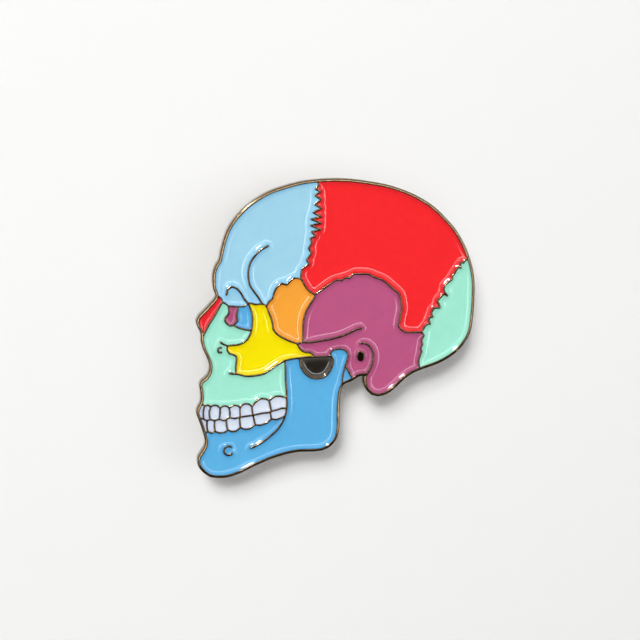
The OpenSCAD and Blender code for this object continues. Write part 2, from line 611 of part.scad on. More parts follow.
for (i = [0 : TEETH_UP - 1])
    color(tooth_white) poured() upper_cell(i);

for (i = [0 : TEETH_LOW - 1])
    color(tooth_white) poured() lower_cell(i);

for (side = [0, 1]) {
    post(side);
    clutch_base(side);
    clutch_cap(side);
    wing(side, true);
    wing(side, false);
}
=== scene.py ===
# %% [markdown]
# # A soft-enamel skull pin
#
# A pin like this starts as a flat blank of iron. A die strikes it once, which leaves the lines of
# the drawing standing up and the areas between them sunk. The blank is cut out round its edge,
# plated black nickel, and each sunk cell is filled with enamel from a syringe and baked. Posts are
# soldered to the back, and a butterfly clutch goes on each.
#
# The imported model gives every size. This script reads the outlines of its cells, and rebuilds the
# struck lines and the enamel with the small curved surfaces that catch the light.

# %% Load the model
import json
import math

import bmesh
import bpy
import numpy as np
from mathutils import Matrix, Vector
from mathutils.geometry import delaunay_2d_cdt

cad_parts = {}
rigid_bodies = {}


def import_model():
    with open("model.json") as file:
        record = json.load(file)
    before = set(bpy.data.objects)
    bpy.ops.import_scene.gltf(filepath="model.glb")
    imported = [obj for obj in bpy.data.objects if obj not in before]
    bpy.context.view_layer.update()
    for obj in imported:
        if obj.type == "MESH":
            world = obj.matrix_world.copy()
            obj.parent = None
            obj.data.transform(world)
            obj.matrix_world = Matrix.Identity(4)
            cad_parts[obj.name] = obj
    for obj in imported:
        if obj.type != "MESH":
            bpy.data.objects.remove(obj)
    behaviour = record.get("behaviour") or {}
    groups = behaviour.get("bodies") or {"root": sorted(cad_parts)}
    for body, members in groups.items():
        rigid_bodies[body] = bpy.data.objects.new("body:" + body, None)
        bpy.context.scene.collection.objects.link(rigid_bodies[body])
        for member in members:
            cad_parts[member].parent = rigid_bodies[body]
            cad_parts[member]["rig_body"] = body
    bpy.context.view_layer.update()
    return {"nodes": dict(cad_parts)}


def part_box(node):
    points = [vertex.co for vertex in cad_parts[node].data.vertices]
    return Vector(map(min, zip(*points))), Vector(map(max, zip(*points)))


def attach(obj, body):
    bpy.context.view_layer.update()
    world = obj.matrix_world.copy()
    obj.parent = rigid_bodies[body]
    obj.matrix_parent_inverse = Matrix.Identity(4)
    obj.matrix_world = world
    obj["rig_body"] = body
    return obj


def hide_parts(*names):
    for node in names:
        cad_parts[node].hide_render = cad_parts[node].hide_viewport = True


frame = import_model()
MM = 0.001
np.random.seed(7)
print("nodes:", len(frame["nodes"]))

# %% [markdown]
# ## Sizes read from the model
#
# The plate and one fill give all the heights: the tops of the lines, the cells' floor and the back.
# They could be typed in again here, but a number that is read can't disagree with the model.

# %% Heights, and each bone's enamel
def heights(node):
    """Lowest and highest z of a CAD node, in metres."""
    low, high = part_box(node)
    return low[2], high[2]


back_z, top_z = heights("base_plate")
floor_z, fill_z = heights("frontal_enamel")
FILLS = {
    "frontal": "sky_blue", "parietal": "red", "occipital": "mint", "temporal": "plum",
    "sphenoid": "orange", "zygomatic": "yellow", "nasal": "red", "lacrimal": "plum",
    "orbit": "blue", "maxilla": "mint", "mandible": "blue", "styloid": "blue", "notch": "black",
}
TEETH = sorted(n for n in frame["nodes"] if "_tooth_" in n)
print("back", back_z / MM, "floor", floor_z / MM, "fill", fill_z / MM, "top", top_z / MM)

# %% [markdown]
# ## Outlines
#
# The drawing on a pin is its lines, and a line is the gap between two outlines. They could be drawn
# once more here, but reading them keeps each wall where the model has it.
#
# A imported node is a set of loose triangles. Those that lie flat at one height have an outer edge,
# and perhaps holes: the edges that only one triangle uses, joined end to end. A die is cut in
# smooth curves, so the facets are then rounded by curves through the same points.

# %% Read an outline and smooth it
# Vertices closer than this are one vertex, and a face is at a height if it is within this of it
SAME_PLACE = 0.0005 * MM
SAME_HEIGHT = 0.002 * MM
# Length of the short sides that an outline is drawn with
OUTLINE_STEP = 0.16 * MM


def flat_loops(node, z, upward=True):
    """The closed outlines of a node's flat faces at height z, each an (n, 2) array in metres.
    An edge that is walked one way only is on the outline, and the edges chain into loops."""
    mesh = frame["nodes"][node].data
    p = np.empty(len(mesh.vertices) * 3)
    mesh.vertices.foreach_get("co", p)
    p = p.reshape(-1, 3)
    mesh.calc_loop_triangles()
    tris = np.empty(len(mesh.loop_triangles) * 3, dtype=int)
    mesh.loop_triangles.foreach_get("vertices", tris)
    tris = tris.reshape(-1, 3)
    _, first, same = np.unique(np.round(p / SAME_PLACE).astype(int), axis=0,
                               return_index=True, return_inverse=True)
    p = p[first]
    tris = same.reshape(-1)[tris]
    flat = np.abs(p[tris][:, :, 2] - z).max(axis=1) < SAME_HEIGHT
    tris = tris[flat]
    a, b, c = p[tris[:, 0]], p[tris[:, 1]], p[tris[:, 2]]
    area = np.cross(b - a, c - a)[:, 2]
    tris = tris[area > 0] if upward else tris[area < 0]
    walked = {(int(t[i]), int(t[(i + 1) % 3])) for t in tris for i in range(3)}
    after = {i: j for i, j in walked if (j, i) not in walked}
    loops = []
    while after:
        start, here = after.popitem()
        ring = [start]
        while here != start:
            ring.append(here)
            here = after.pop(here)
        loops.append(p[ring][:, :2])
    return loops


def counter_clockwise(loop):
    """The same loop, walked so that its inside is on the left."""
    x, y = loop.T
    area = np.sum(x * np.roll(y, -1) - np.roll(x, -1) * y)
    return loop if area > 0 else loop[::-1]


def smooth_loop(loop, corner=0.75):
    """The loop with extra points along cubic curves through its own points.
    Each point's direction is halfway between its two sides, but a point that turns by more than
    corner radians keeps its two straight sides, so that the sutures stay jagged."""
    loop = counter_clockwise(loop)
    side = np.roll(loop, -1, axis=0) - loop
    length = np.linalg.norm(side, axis=1)
    u = side / length[:, None]
    v = np.roll(u, 1, axis=0)
    turn = np.abs(np.arctan2(v[:, 0] * u[:, 1] - v[:, 1] * u[:, 0], np.sum(u * v, axis=1)))
    bend = u + v
    bend /= np.linalg.norm(bend, axis=1)[:, None] + 1e-12
    leave = np.where((turn > corner)[:, None], u, bend)
    arrive = np.roll(np.where((turn > corner)[:, None], v, bend), -1, axis=0)
    steps = np.maximum(1, np.ceil(length / OUTLINE_STEP)).astype(int)
    i = np.repeat(np.arange(len(loop)), steps)
    step = np.arange(len(i)) - np.repeat(np.cumsum(steps) - steps, steps)
    t, size = (step / steps[i])[:, None], length[i][:, None]
    a, b = loop[i], np.roll(loop, -1, axis=0)[i]
    return ((2 * t**3 - 3 * t**2 + 1) * a + (t**3 - 2 * t**2 + t) * size * leave[i]
            + (3 * t**2 - 2 * t**3) * b + (t**3 - t**2) * size * arrive[i])


print("outlines of the plate's top:", len(flat_loops("base_plate", top_z)))

# %% [markdown]
# ## Where a point lies
#
# Liquid enamel and rounded metal both take their height from the nearest wall, so each point needs
# its distance from it. A search tree could measure that a point at a time. Whole arrays are
# used because they measure thousands of points at once.

# %% Inside an outline, and distance from a wall
def inside(p, loop):
    """True if point p is in the loop: a line from it crosses the loop an odd number of times."""
    a, b = loop, np.roll(loop, -1, axis=0)
    spans = (a[:, 1] > p[1]) != (b[:, 1] > p[1])
    cross = a[:, 0] + (p[1] - a[:, 1]) / np.where(spans, b[:, 1] - a[:, 1], 1) * (b[:, 0] - a[:, 0])
    return bool(np.sum(spans & (cross > p[0])) % 2)


def nesting(loops):
    """For each loop, the number of other loops that it lies within."""
    return [sum(inside(loop[0], r) for r in loops if r is not loop) for loop in loops]


def wall_distance(points, loops, far=1.5 * MM):
    """Distance from each point to the nearest side of any loop, or far if that is less. Points are
    taken a square at a time, each with only the sides that come near its square."""
    a = np.vstack(loops)
    b = np.vstack([np.roll(loop, -1, axis=0) for loop in loops])
    low, high = np.minimum(a, b), np.maximum(a, b)
    squares, which = np.unique(np.floor(points / far).astype(int), axis=0, return_inverse=True)
    out = np.full(len(points), far)
    for k, square in enumerate(squares):
        near = np.all((high > (square - 1) * far) & (low < (square + 2) * far), axis=1)
        mine = which.reshape(-1) == k
        if near.any():
            ab = (b - a)[near]
            ap = points[mine][:, None] - a[near]
            t = np.clip(np.sum(ap * ab, axis=2) / (np.sum(ab * ab, axis=1) + 1e-30), 0, 1)
            gap = np.linalg.norm(ap - t[..., None] * ab, axis=2).min(axis=1)
            out[mine] = np.minimum(gap, far)
    return out


# %% [markdown]
# ## Sheets cut to an outline
#
# The top of a fill, the tops of the lines and the back are all sheets: a flat outline with holes.
# A grid cut with booleans could make them, but it leaves slivers along the cut. Here the outline's
# own points are joined to rings of points beside it, which gives good triangles that are finest
# where the surface bends, beside the walls.

# %% Points and triangles of a sheet
# Points of a sheet that are closer than this become one
POINTS_APART = 0.05 * MM
# A ring's point counts only if no other wall is much nearer than the one that the ring follows
RING_SHARE = 0.96
# The grid starts this share of its spacing beyond the last ring
GRID_SHARE = 0.4


def inner_points(loops, rings, grid):
    """Points at each of the rings' distances from the walls, and a square grid farther in."""
    found = []
    for loop in loops:
        along = np.roll(loop, -1, axis=0) - np.roll(loop, 1, axis=0)
        normal = np.column_stack([-along[:, 1], along[:, 0]])
        normal /= np.linalg.norm(normal, axis=1)[:, None] + 1e-12
        for d in rings:
            for way in (1, -1):
                ring = loop + way * normal * d
                found.append(ring[wall_distance(ring, loops) > RING_SHARE * d])
    low, high = np.vstack(loops).min(axis=0), np.vstack(loops).max(axis=0)
    if grid:
        x, y = np.meshgrid(np.arange(low[0], high[0], grid), np.arange(low[1], high[1], grid))
        x[::2] += grid / 2
        cells = np.column_stack([x.ravel(), y.ravel()])
        found.append(cells[wall_distance(cells, loops) > rings[-1] + GRID_SHARE * grid])
    points = np.vstack(found)
    _, one_each = np.unique(np.round(points / POINTS_APART).astype(int), axis=0, return_index=True)
    return points[np.sort(one_each)]


def cut_sheet(loops, inside):
    """Triangles over the loops and the inner points: (places, triangles, depth, where).
    depth counts the loops that a triangle lies within, and where[k] lists loop k's own points."""
    points = np.vstack(loops + [inside]) / MM
    starts = np.cumsum([0] + [len(loop) for loop in loops])
    faces = [list(range(starts[k], starts[k + 1])) for k in range(len(loops))]
    verts, _, tris, old_verts, _, old_faces = delaunay_2d_cdt(
        [Vector(p) for p in points], [], faces, 1, 1e-6, True)
    place = np.empty(len(points), dtype=int)
    for new, olds in enumerate(old_verts):
        for old in olds:
            place[old] = new
    depth = np.array([len(f) for f in old_faces])
    where = [place[starts[k]:starts[k + 1]] for k in range(len(loops))]
    tris = np.array([list(t) for t in tris])
    verts = np.array([list(v) for v in verts]) * MM
    a, b, c = verts[tris[:, 0]], verts[tris[:, 1]], verts[tris[:, 2]]
    turned = (b - a)[:, 0] * (c - a)[:, 1] - (b - a)[:, 1] * (c - a)[:, 0] < 0
    tris[turned] = tris[turned][:, ::-1]
    return verts, tris, depth, where


def wall(upper, lower):
    """Quads between two rings of vertex numbers, facing right of the way they are walked."""
    return np.column_stack([upper, lower, np.roll(lower, -1), np.roll(upper, -1)])


# %% Make a piece from its faces
def make_piece(name, verts, faces, sharp_degrees=50):
    """A mesh object at the origin, smooth but for edges sharper than sharp_degrees."""
    used = np.unique(np.concatenate([np.ravel(f) for f in faces]))
    number = np.zeros(len(verts), dtype=int)
    number[used] = np.arange(len(used))
    mesh = bpy.data.meshes.new(name)
    mesh.from_pydata(verts[used].tolist(), [], [number[q].tolist() for f in faces for q in f])
    mesh.shade_smooth()
    mesh.set_sharp_from_angle(angle=math.radians(sharp_degrees))
    piece = bpy.data.objects.new(name, mesh)
    bpy.context.collection.objects.link(piece)
    return piece, used


def put_attribute(piece, name, values):
    """One number per vertex, for the piece's material to read."""
    piece.data.attributes.new(name, "FLOAT", "POINT").data.foreach_set("value", values)


# %% [markdown]
# ## Enamel
#
# Liquid enamel wets the walls of its cell and climbs them. Its surface obeys one rule: how much it
# curves at a point is in proportion to how high it stands there. So it leaves the wall steeply and
# is nearly flat a millimetre away. That slope beside each line is what shows as a bright thread on
# one side of the line and as a darker band on the other.
#
# A bump in the material could give the thread, but the mesh would then be flat. So the rule is
# solved on the sheet's own triangles, which also gets the narrow corners right, where two walls
# lift the same liquid.

# %% Shape of a liquid's surface
# Height that a fill climbs at a wall, and the distance over which the climb falls to a third
CLIMB = 0.24 * MM
REACH = 0.48 * MM
# How far above the model's fill its edge ends
EDGE_LIFT = 0.02 * MM
# Distances from the walls at which a fill has rings of vertices, and its grid farther in
FILL_RINGS = np.arange(0.06, 1.3, 0.085) * MM
FILL_GRID = 0.3 * MM
# The solver stops when no height would change by more than this, or after so many rounds
CLOSE_ENOUGH = 1e-9
MOST_ROUNDS = 300


def relaxed(verts, tris, fixed, start, reach):
    """Heights z that solve z = reach^2 * (curvature of z), with z given at the fixed vertices.
    The triangles' cotangent weights stand for curvature, and conjugate gradients solve it."""
    n = len(verts)
    rows, cols, weights, share = [], [], [], np.zeros(n)
    for k in range(3):
        i, j, o = tris[:, k], tris[:, (k + 1) % 3], tris[:, (k + 2) % 3]
        u, v = verts[i] - verts[o], verts[j] - verts[o]
        cross = np.abs(u[:, 0] * v[:, 1] - u[:, 1] * v[:, 0]) + 1e-16
        cot = np.clip(np.sum(u * v, axis=1) / cross, -5, 20) / 2
        rows += [i, j]
        cols += [j, i]
        weights += [cot, cot]
        share += np.bincount(o, cross / 6, n)
    rows, cols, weights = map(np.concatenate, (rows, cols, weights))
    weights = np.maximum(weights, 0)
    own = np.bincount(rows, weights, n) + share / reach**2 + 1e-12
    free = ~fixed

    def apply(z):
        """The equation's left side, which the right heights make zero at every free vertex."""
        return (own * z - np.bincount(rows, weights * z[cols], n)) * free

    z = np.where(fixed, start, 0.0)
    r = -apply(z)
    d = r / own
    rho = np.dot(r, d)
    for _ in range(MOST_ROUNDS):
        ad = apply(d * free)
        alpha = rho / (np.dot(d * free, ad) + 1e-40)
        z += alpha * d * free
        r -= alpha * ad
        if np.abs(r / own)[free].max() < CLOSE_ENOUGH:
            break
        s = r / own
        new = np.dot(r, s)
        d, rho = s + new / rho * d, new
    return z


# %% Pour every fill
def pour(node, name):
    """One fill: a closed piece whose top climbs its walls, on the cell's flat floor."""
    loops = [smooth_loop(loop) for loop in flat_loops(node, fill_z)]
    verts, tris, depth, where = cut_sheet(loops, inner_points(loops, FILL_RINGS, FILL_GRID))
    tris = tris[depth % 2 == 1]
    edge = np.zeros(len(verts), dtype=bool)
    edge[np.concatenate(where)] = True
    lift = relaxed(verts, tris, edge, CLIMB, REACH)
    top = np.column_stack([verts, fill_z + EDGE_LIFT - CLIMB + lift])
    low = np.column_stack([verts, np.full(len(verts), floor_z)])
    n = len(verts)
    walls = []
    for ring, level in zip(where, nesting(loops)):
        walls.append(wall(ring + n, ring) if level else wall(ring, ring + n))
    piece, used = make_piece(name, np.vstack([top, low]), [tris, tris[:, ::-1] + n] + walls)
    near = np.concatenate([lift, lift]) / CLIMB
    put_attribute(piece, "climb", near[used])
    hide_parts(node)
    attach(piece, "pin")
    return piece


fills = {}
for bone in FILLS:
    fills[bone] = pour(bone + "_enamel", bone + "_fill")
for tooth in TEETH:
    fills[tooth] = pour(tooth, tooth + "_fill")
print("fills:", len(fills), "vertices:", sum(len(o.data.vertices) for o in fills.values()))

# %% [markdown]
# ## Struck plate
#
# The die leaves the lines with rounded tops, and tumbling rounds the rim. Each line is a hump with
# its highest point along its middle. The plate's back is flat, with a round seat for each post.
#
# A Bevel modifier could round the lines, but it folds over itself where a line is narrower than the
# bevel. Here a point's height follows from its distance to the wall, so no line is too narrow.

# %% Sizes of the rounding
# Distances from the walls at which the plate has rings of vertices, and the grid of its back
LINE_RINGS = [r * MM for r in (0.02, 0.045, 0.075, 0.105, 0.135, 0.175)]
BACK_GRID = 1.2 * MM
# How wide the rounding of an edge is, and how far it drops on the front and on the back
EDGE_WIDTH = 0.12 * MM
EDGE_DROP = 0.034 * MM
BACK_DROP = 0.05 * MM
# The slope of the rim, which begins this far in and ends this far down
RIM_WIDTH = 0.26 * MM
RIM_DROP = 0.039 * MM
# Its fall gets a little steeper towards the edge
RIM_POWER = 1.1
# A seat is round, so its outline has more points than this
SEAT_POINTS = 8


def crown(d, width, drop):
    """How far a rounded edge lies below the flat top, at distance d from the wall: a quarter of an
    ellipse that is width wide and drop high."""
    t = np.clip(d / width, 0, 1)
    return drop * (1 - np.sqrt(1 - (1 - t)**2))


# %% Strike the plate
def strike():
    """The whole plate as one closed piece: line tops, cell walls and floors, rim and back.
    depth 1 is metal at the top, 2 is a cell's floor, and 3 is an island of metal in a cell."""
    raw = flat_loops("base_plate", top_z)
    loops = sorted((smooth_loop(loop) for loop in raw), key=len, reverse=True)
    verts, tris, depth, where = cut_sheet(loops, inner_points(loops, LINE_RINGS, None))
    d = wall_distance(verts, loops)
    n = len(verts)
    levels = nesting(loops)
    rim = loops[levels.index(0)]
    outward = wall_distance(verts, [rim])
    dome = RIM_DROP * np.clip(1 - outward / RIM_WIDTH, 0, 1)**RIM_POWER
    top = np.column_stack([verts, top_z - crown(d, EDGE_WIDTH, EDGE_DROP) - dome])
    low = np.column_stack([verts, np.full(n, floor_z)])
    faces = [tris[depth % 2 == 1], tris[depth == 2] + n]
    for ring, level in zip(where, levels):
        if level == 1:
            faces.append(wall(ring + n, ring))
        elif level == 2:
            faces.append(wall(ring, ring + n))
    seats = [smooth_loop(loop) for loop in flat_loops("base_plate", back_z, False)
             if len(loop) > SEAT_POINTS]
    seats = sorted(seats, key=lambda s: np.ptp(s[:, 0]))[:-1]
    under = [rim] + seats
    inner = inner_points([rim], LINE_RINGS[1:], BACK_GRID)
    bverts, btris, bdepth, bwhere = cut_sheet(under, inner)
    m = len(bverts)
    bd = wall_distance(bverts, [rim])
    flat = np.column_stack([bverts, back_z + crown(bd, EDGE_WIDTH, BACK_DROP)])
    seat = np.column_stack([bverts, np.full(m, heights("left_post")[1])])
    faces += [btris[bdepth == 1][:, ::-1] + 2 * n, btris[bdepth == 2][:, ::-1] + 2 * n + m]
    for ring in bwhere[1:]:
        faces.append(wall(ring + 2 * n + m, ring + 2 * n)[:, ::-1])
    faces.append(wall(where[levels.index(0)], bwhere[0] + 2 * n))
    piece, _ = make_piece("struck_plate", np.vstack([top, low, flat, seat]), faces,
                          sharp_degrees=60)
    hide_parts("base_plate")
    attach(piece, "pin")
    return piece


plate = strike()
print("plate vertices:", len(plate.data.vertices))

# %% [markdown]
# ## Posts and clutches
#
# A post is a nail, and a clutch is pressed from thin sheet. These keep the model's shape. Their
# loose triangles are joined and every sharp edge is rounded, as tumbling and plating leave it. The
# Bevel modifier could do this too. bmesh does it once, straight after it has joined the triangles.

# %% Round the fittings' edges
# Vertices this close are joined, and faces that are this level with each other become one
JOINED = 0.002 * MM
LEVEL = math.radians(1)
# Edges that bend more than SHARP are rounded, and those that then bend more than CREASE look crisp
SHARP = math.radians(32)
CREASE = math.radians(38)
EDGE_ROUND = {"post": 0.03 * MM, "clutch_base": 0.04 * MM, "clutch_cap": 0.04 * MM,
              "wing_upper": 0.035 * MM, "wing_lower": 0.035 * MM}


def rounded(node, name, width):
    """A copy of a node with its triangles joined and its sharp edges rounded by width."""
    form = bmesh.new()
    form.from_mesh(frame["nodes"][node].data)
    bmesh.ops.remove_doubles(form, verts=form.verts, dist=JOINED)
    bmesh.ops.dissolve_limit(form, angle_limit=LEVEL, verts=form.verts, edges=form.edges)
    sharp = [e for e in form.edges if len(e.link_faces) == 2 and e.calc_face_angle() > SHARP]
    bmesh.ops.bevel(form, geom=sharp, offset=width, segments=2, profile=0.5, affect="EDGES",
                    clamp_overlap=False)
    bmesh.ops.triangulate(form, faces=form.faces)
    mesh = bpy.data.meshes.new(name)
    form.to_mesh(mesh)
    form.free()
    mesh.shade_smooth()
    mesh.set_sharp_from_angle(angle=CREASE)
    piece = bpy.data.objects.new(name, mesh)
    bpy.context.collection.objects.link(piece)
    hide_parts(node)
    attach(piece, frame["nodes"][node]["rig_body"])
    return piece


fittings = {}
for side in ("left", "right"):
    for part, width in EDGE_ROUND.items():
        node = side + "_" + part
        fittings[node] = rounded(node, node + "_piece", width)
print("fittings:", {k: len(o.data.vertices) for k, o in fittings.items()})

# %% [markdown]
# ## Materials
#
# Every finish is a few shader nodes on the pieces' own coordinates. Images could give it too, but
# nodes need no unwrapping and stay sharp from close by. A pattern's scale is one over its size.
# Colours are given as on a screen and turned into the linear values that the shaders want.

# %% Colours and nodes
# Nearly all of a noise's values lie between these
NOISE = {"From Min": 0.3, "From Max": 0.7}


def linear(code):
    """The linear colour of a screen colour such as "#ff8800"."""
    c = np.array([int(code[i:i + 2], 16) for i in (1, 3, 5)]) / 255
    return [*np.where(c <= 0.04045, c / 12.92, ((c + 0.055) / 1.055)**2.4), 1.0]


def add(tree, kind, inputs=None, **settings):
    """A new node of that kind. An input's value is a number, a colour or another node's socket."""
    node = tree.nodes.new(kind)
    for key, value in settings.items():
        setattr(node, key, value)
    for key, value in (inputs or {}).items():
        if isinstance(value, bpy.types.NodeSocket):
            tree.links.new(value, node.inputs[key])
        else:
            node.inputs[key].default_value = value
    return node


def new_material(name):
    """An empty material: (material, its node tree, the surface shader)."""
    material = bpy.data.materials.new(name)
    material.use_nodes = True
    tree = material.node_tree
    return material, tree, tree.nodes["Principled BSDF"]


# %% [markdown]
# ### Enamel
#
# Soft enamel is pigment in a clear resin, baked until it is hard. The eye gets one even colour from
# the pigment and a sharp reflection from the resin over it. One glossy shader could give both,
# but it would wash out the yellow and the red, so the base is matt and a clear coat has the gloss.
# The attribute "climb" is 1 where the enamel meets a wall, and falls to 0 away from it.
# Where it is high, a painted shade is mixed into the colour; on the black it is a paler grey,
# a painted sheen.

# %% Enamel
# Clouds of pigment are about 1.1 mm across, and the waves in the gloss 0.4 mm
PIGMENT_CLOUD = MM / 0.9
GLOSS_WAVE = 0.4 * MM
WAVE_DEPTH = 0.04 * MM
WAVE_STRENGTH = 0.12
# The most that the second colour is mixed in beside the walls as painted shade, and by a cloud
# of pigment
MOST_WALL_SHADING, MOST_CLOUD = 0.55, 0.12
# The base is matt and hardly shines. The coat over it is nearly a mirror
BASE_ROUGH, BASE_SHINE, COAT_ROUGH = 0.5, 0.05, 0.04


def enamel(name, code, painted_wall_shading_and_cloud, wall_shading_from=0.35):
    """Baked enamel: one colour, with its second colour mixed in by clouds of pigment and, as
    painted shade, where it has climbed the walls past the climb given, under a glossy surface that
    isn't quite level."""
    material, tree, shader = new_material(name)
    place = add(tree, "ShaderNodeTexCoord").outputs["Object"]
    climb = add(tree, "ShaderNodeAttribute", attribute_name="climb").outputs["Fac"]
    cloud = add(tree, "ShaderNodeTexNoise", {"Vector": place, "Scale": 1 / PIGMENT_CLOUD,
                                             "Detail": 4.0})
    # Painted shade: the second colour is mixed in where the enamel has climbed the walls
    wall_shading = add(tree, "ShaderNodeMapRange", {"Value": climb, "From Min": wall_shading_from, "From Max": 1.0,
                                            "To Min": 0.0, "To Max": MOST_WALL_SHADING})
    uneven = add(tree, "ShaderNodeMapRange", {"Value": cloud.outputs["Fac"], **NOISE,
                                              "To Min": 0.0, "To Max": MOST_CLOUD})
    amount = add(tree, "ShaderNodeMath", {0: wall_shading.outputs[0], 1: uneven.outputs[0]},
                 operation="ADD")
    colour = add(tree, "ShaderNodeMix", {"Factor": amount.outputs[0], "A": linear(code),
                                         "B": linear(painted_wall_shading_and_cloud)}, data_type="RGBA")
    tree.links.new(colour.outputs["Result"], shader.inputs["Base Color"])
    peel = add(tree, "ShaderNodeTexNoise", {"Vector": place, "Scale": 1 / GLOSS_WAVE,
                                            "Detail": 3.0})
    bump = add(tree, "ShaderNodeBump", {"Height": peel.outputs["Fac"], "Strength": WAVE_STRENGTH,
                                        "Distance": WAVE_DEPTH})
    tree.links.new(bump.outputs["Normal"], shader.inputs["Normal"])
    shader.inputs["Roughness"].default_value = BASE_ROUGH
    shader.inputs["Specular IOR Level"].default_value = BASE_SHINE
    shader.inputs["Coat Weight"].default_value = 1.0
    shader.inputs["Coat Roughness"].default_value = COAT_ROUGH
    return material


# %% [markdown]
# ### Metals
#
# All three drift between two tones, because tarnish is never even, and have a fine grain. Rolled
# sheet adds long scratches, and the plate adds a back that is blasted with sand. They share one
# function, since only their colours and sizes differ.

# %% Metal
# Roughness in the smoothest and the roughest patch, as a share of the metal's own
SMOOTHEST, ROUGHEST = 0.75, 1.35


def metal(name, code, second, rough, patch, grain, depth):
    """Metal whose colour and roughness vary in patches, with fine grain of that depth: (material,
    its tree, the shader, its roughness, its bump). patch and grain are their sizes."""
    material, tree, shader = new_material(name)
    place = add(tree, "ShaderNodeTexCoord").outputs["Object"]
    cloud = add(tree, "ShaderNodeTexNoise", {"Vector": place, "Scale": 1 / patch, "Detail": 5.0})
    fine = add(tree, "ShaderNodeTexNoise", {"Vector": place, "Scale": 1 / grain, "Detail": 2.0})
    colour = add(tree, "ShaderNodeMix", {"Factor": cloud.outputs["Fac"], "A": linear(code),
                                         "B": linear(second)}, data_type="RGBA")
    spread = add(tree, "ShaderNodeMapRange", {"Value": cloud.outputs["Fac"], **NOISE,
                                              "To Min": rough * SMOOTHEST,
                                              "To Max": rough * ROUGHEST})
    bump = add(tree, "ShaderNodeBump", {"Height": fine.outputs["Fac"], "Strength": 1.0,
                                        "Distance": depth})
    tree.links.new(colour.outputs["Result"], shader.inputs["Base Color"])
    tree.links.new(spread.outputs[0], shader.inputs["Roughness"])
    tree.links.new(bump.outputs["Normal"], shader.inputs["Normal"])
    shader.inputs["Metallic"].default_value = 1.0
    return material, tree, shader, spread, bump


def rougher(tree, shader, height, depth, bump):
    """Adds a second relief of that depth on top of the first."""
    second = add(tree, "ShaderNodeBump", {"Height": height, "Strength": 1.0, "Distance": depth,
                                          "Normal": bump.outputs["Normal"]})
    tree.links.new(second.outputs["Normal"], shader.inputs["Normal"])


# %% Rolled sheet
# A scratch is 1.5 mm long and a fourteenth of that wide, and all of them run the same way
SCRATCH = 1.5 * MM
SCRATCH_DEPTH = 0.006 * MM
SCRATCH_SHAPE = (1.0, 14.0, 3.0)
SCRATCH_TURN = (0.0, 0.0, 0.4)


def scratched(name, code, second, rough):
    """Rolled sheet metal: patches of tarnish, and scratches far longer than they are wide."""
    material, tree, shader, _, bump = metal(name, code, second, rough, patch=1.6 * MM,
                                            grain=0.12 * MM, depth=0.002 * MM)
    place = add(tree, "ShaderNodeTexCoord").outputs["Object"]
    stretch = add(tree, "ShaderNodeMapping", {"Vector": place, "Scale": SCRATCH_SHAPE,
                                              "Rotation": SCRATCH_TURN})
    lines = add(tree, "ShaderNodeTexNoise", {"Vector": stretch.outputs[0], "Scale": 1 / SCRATCH,
                                             "Detail": 3.0})
    rougher(tree, shader, lines.outputs["Fac"], SCRATCH_DEPTH, bump)
    return material


# %% Plated blank
# Fine blasting grit is about 0.1 mm across. It is drawn a little coarser, so that it shows
GRIT = 0.16 * MM
GRIT_DEPTH = 0.05 * MM
GRIT_ROUGH = 0.2
# The surface belongs to the back where its normal's z is below this
BACKWARDS = -0.8


def plated_blank():
    """The struck plate's nickel: smooth on the front and blasted with fine sand on the back."""
    material, tree, shader, spread, bump = metal("black_nickel", "#78664e", "#927c5f", rough=0.1,
                                                 patch=0.7 * MM, grain=0.1 * MM,
                                                 depth=0.0015 * MM)
    place = add(tree, "ShaderNodeTexCoord").outputs["Object"]
    facing = add(tree, "ShaderNodeSeparateXYZ",
                 {"Vector": add(tree, "ShaderNodeNewGeometry").outputs["True Normal"]})
    behind = add(tree, "ShaderNodeMath", {0: facing.outputs["Z"], 1: BACKWARDS},
                 operation="LESS_THAN")
    sand = add(tree, "ShaderNodeTexNoise", {"Vector": place, "Scale": 1 / GRIT, "Detail": 3.0})
    height = add(tree, "ShaderNodeMath", {0: sand.outputs["Fac"], 1: behind.outputs[0]},
                 operation="MULTIPLY")
    rougher(tree, shader, height.outputs[0], GRIT_DEPTH, bump)
    rough = add(tree, "ShaderNodeMath", {0: behind.outputs[0], 1: GRIT_ROUGH, 2: spread.outputs[0]},
                operation="MULTIPLY_ADD")
    tree.links.new(rough.outputs[0], shader.inputs["Roughness"])
    return material


# %% [markdown]
# ### Which piece has which
#
# Each enamel has its colour and a second colour. Clouds of pigment mix the second colour in, and it
# is also mixed in beside the walls as a painted shade; on the black it is a paler grey, a painted
# sheen. The teeth's has a third value, because their painted shade starts only close to the wall.
# A fill has one enamel, as on the real pin, where each cell is filled from one syringe.

# %% Paint the pieces
def paint(piece, material):
    """Gives the piece that one material."""
    piece.data.materials.clear()
    piece.data.materials.append(material)


# The second colour is painted shade beside the walls, and on the black a paler grey painted sheen
ENAMELS = {
    "sky_blue": ("#a6daef", "#6fb9ea"), "red": ("#ff2a2e", "#cc2030"),
    "mint": ("#a8f2da", "#86cdb6"), "plum": ("#c35b88", "#8f3f68"),
    "orange": ("#ffab3c", "#e88a2c"), "yellow": ("#ffea00", "#e3c400"),
    "blue": ("#62baec", "#4593cf"), "black": ("#1c1712", "#6b655d"),
    "tooth_white": ("#e0eaf7", "#a6b6da", 0.7),
}
enamels = {slot: enamel(slot + "_enamel", *codes) for slot, codes in ENAMELS.items()}
for key, piece in fills.items():
    slot = FILLS.get(key, "tooth_white")
    paint(piece, enamels[slot])
# Tumbled black nickel is a dark brown mirror
nickel = plated_blank()
# Pressed brass is a warm yellow, dulled along its scratches
brass = scratched("brass", "#e0bd6c", "#cfa552", rough=0.24)
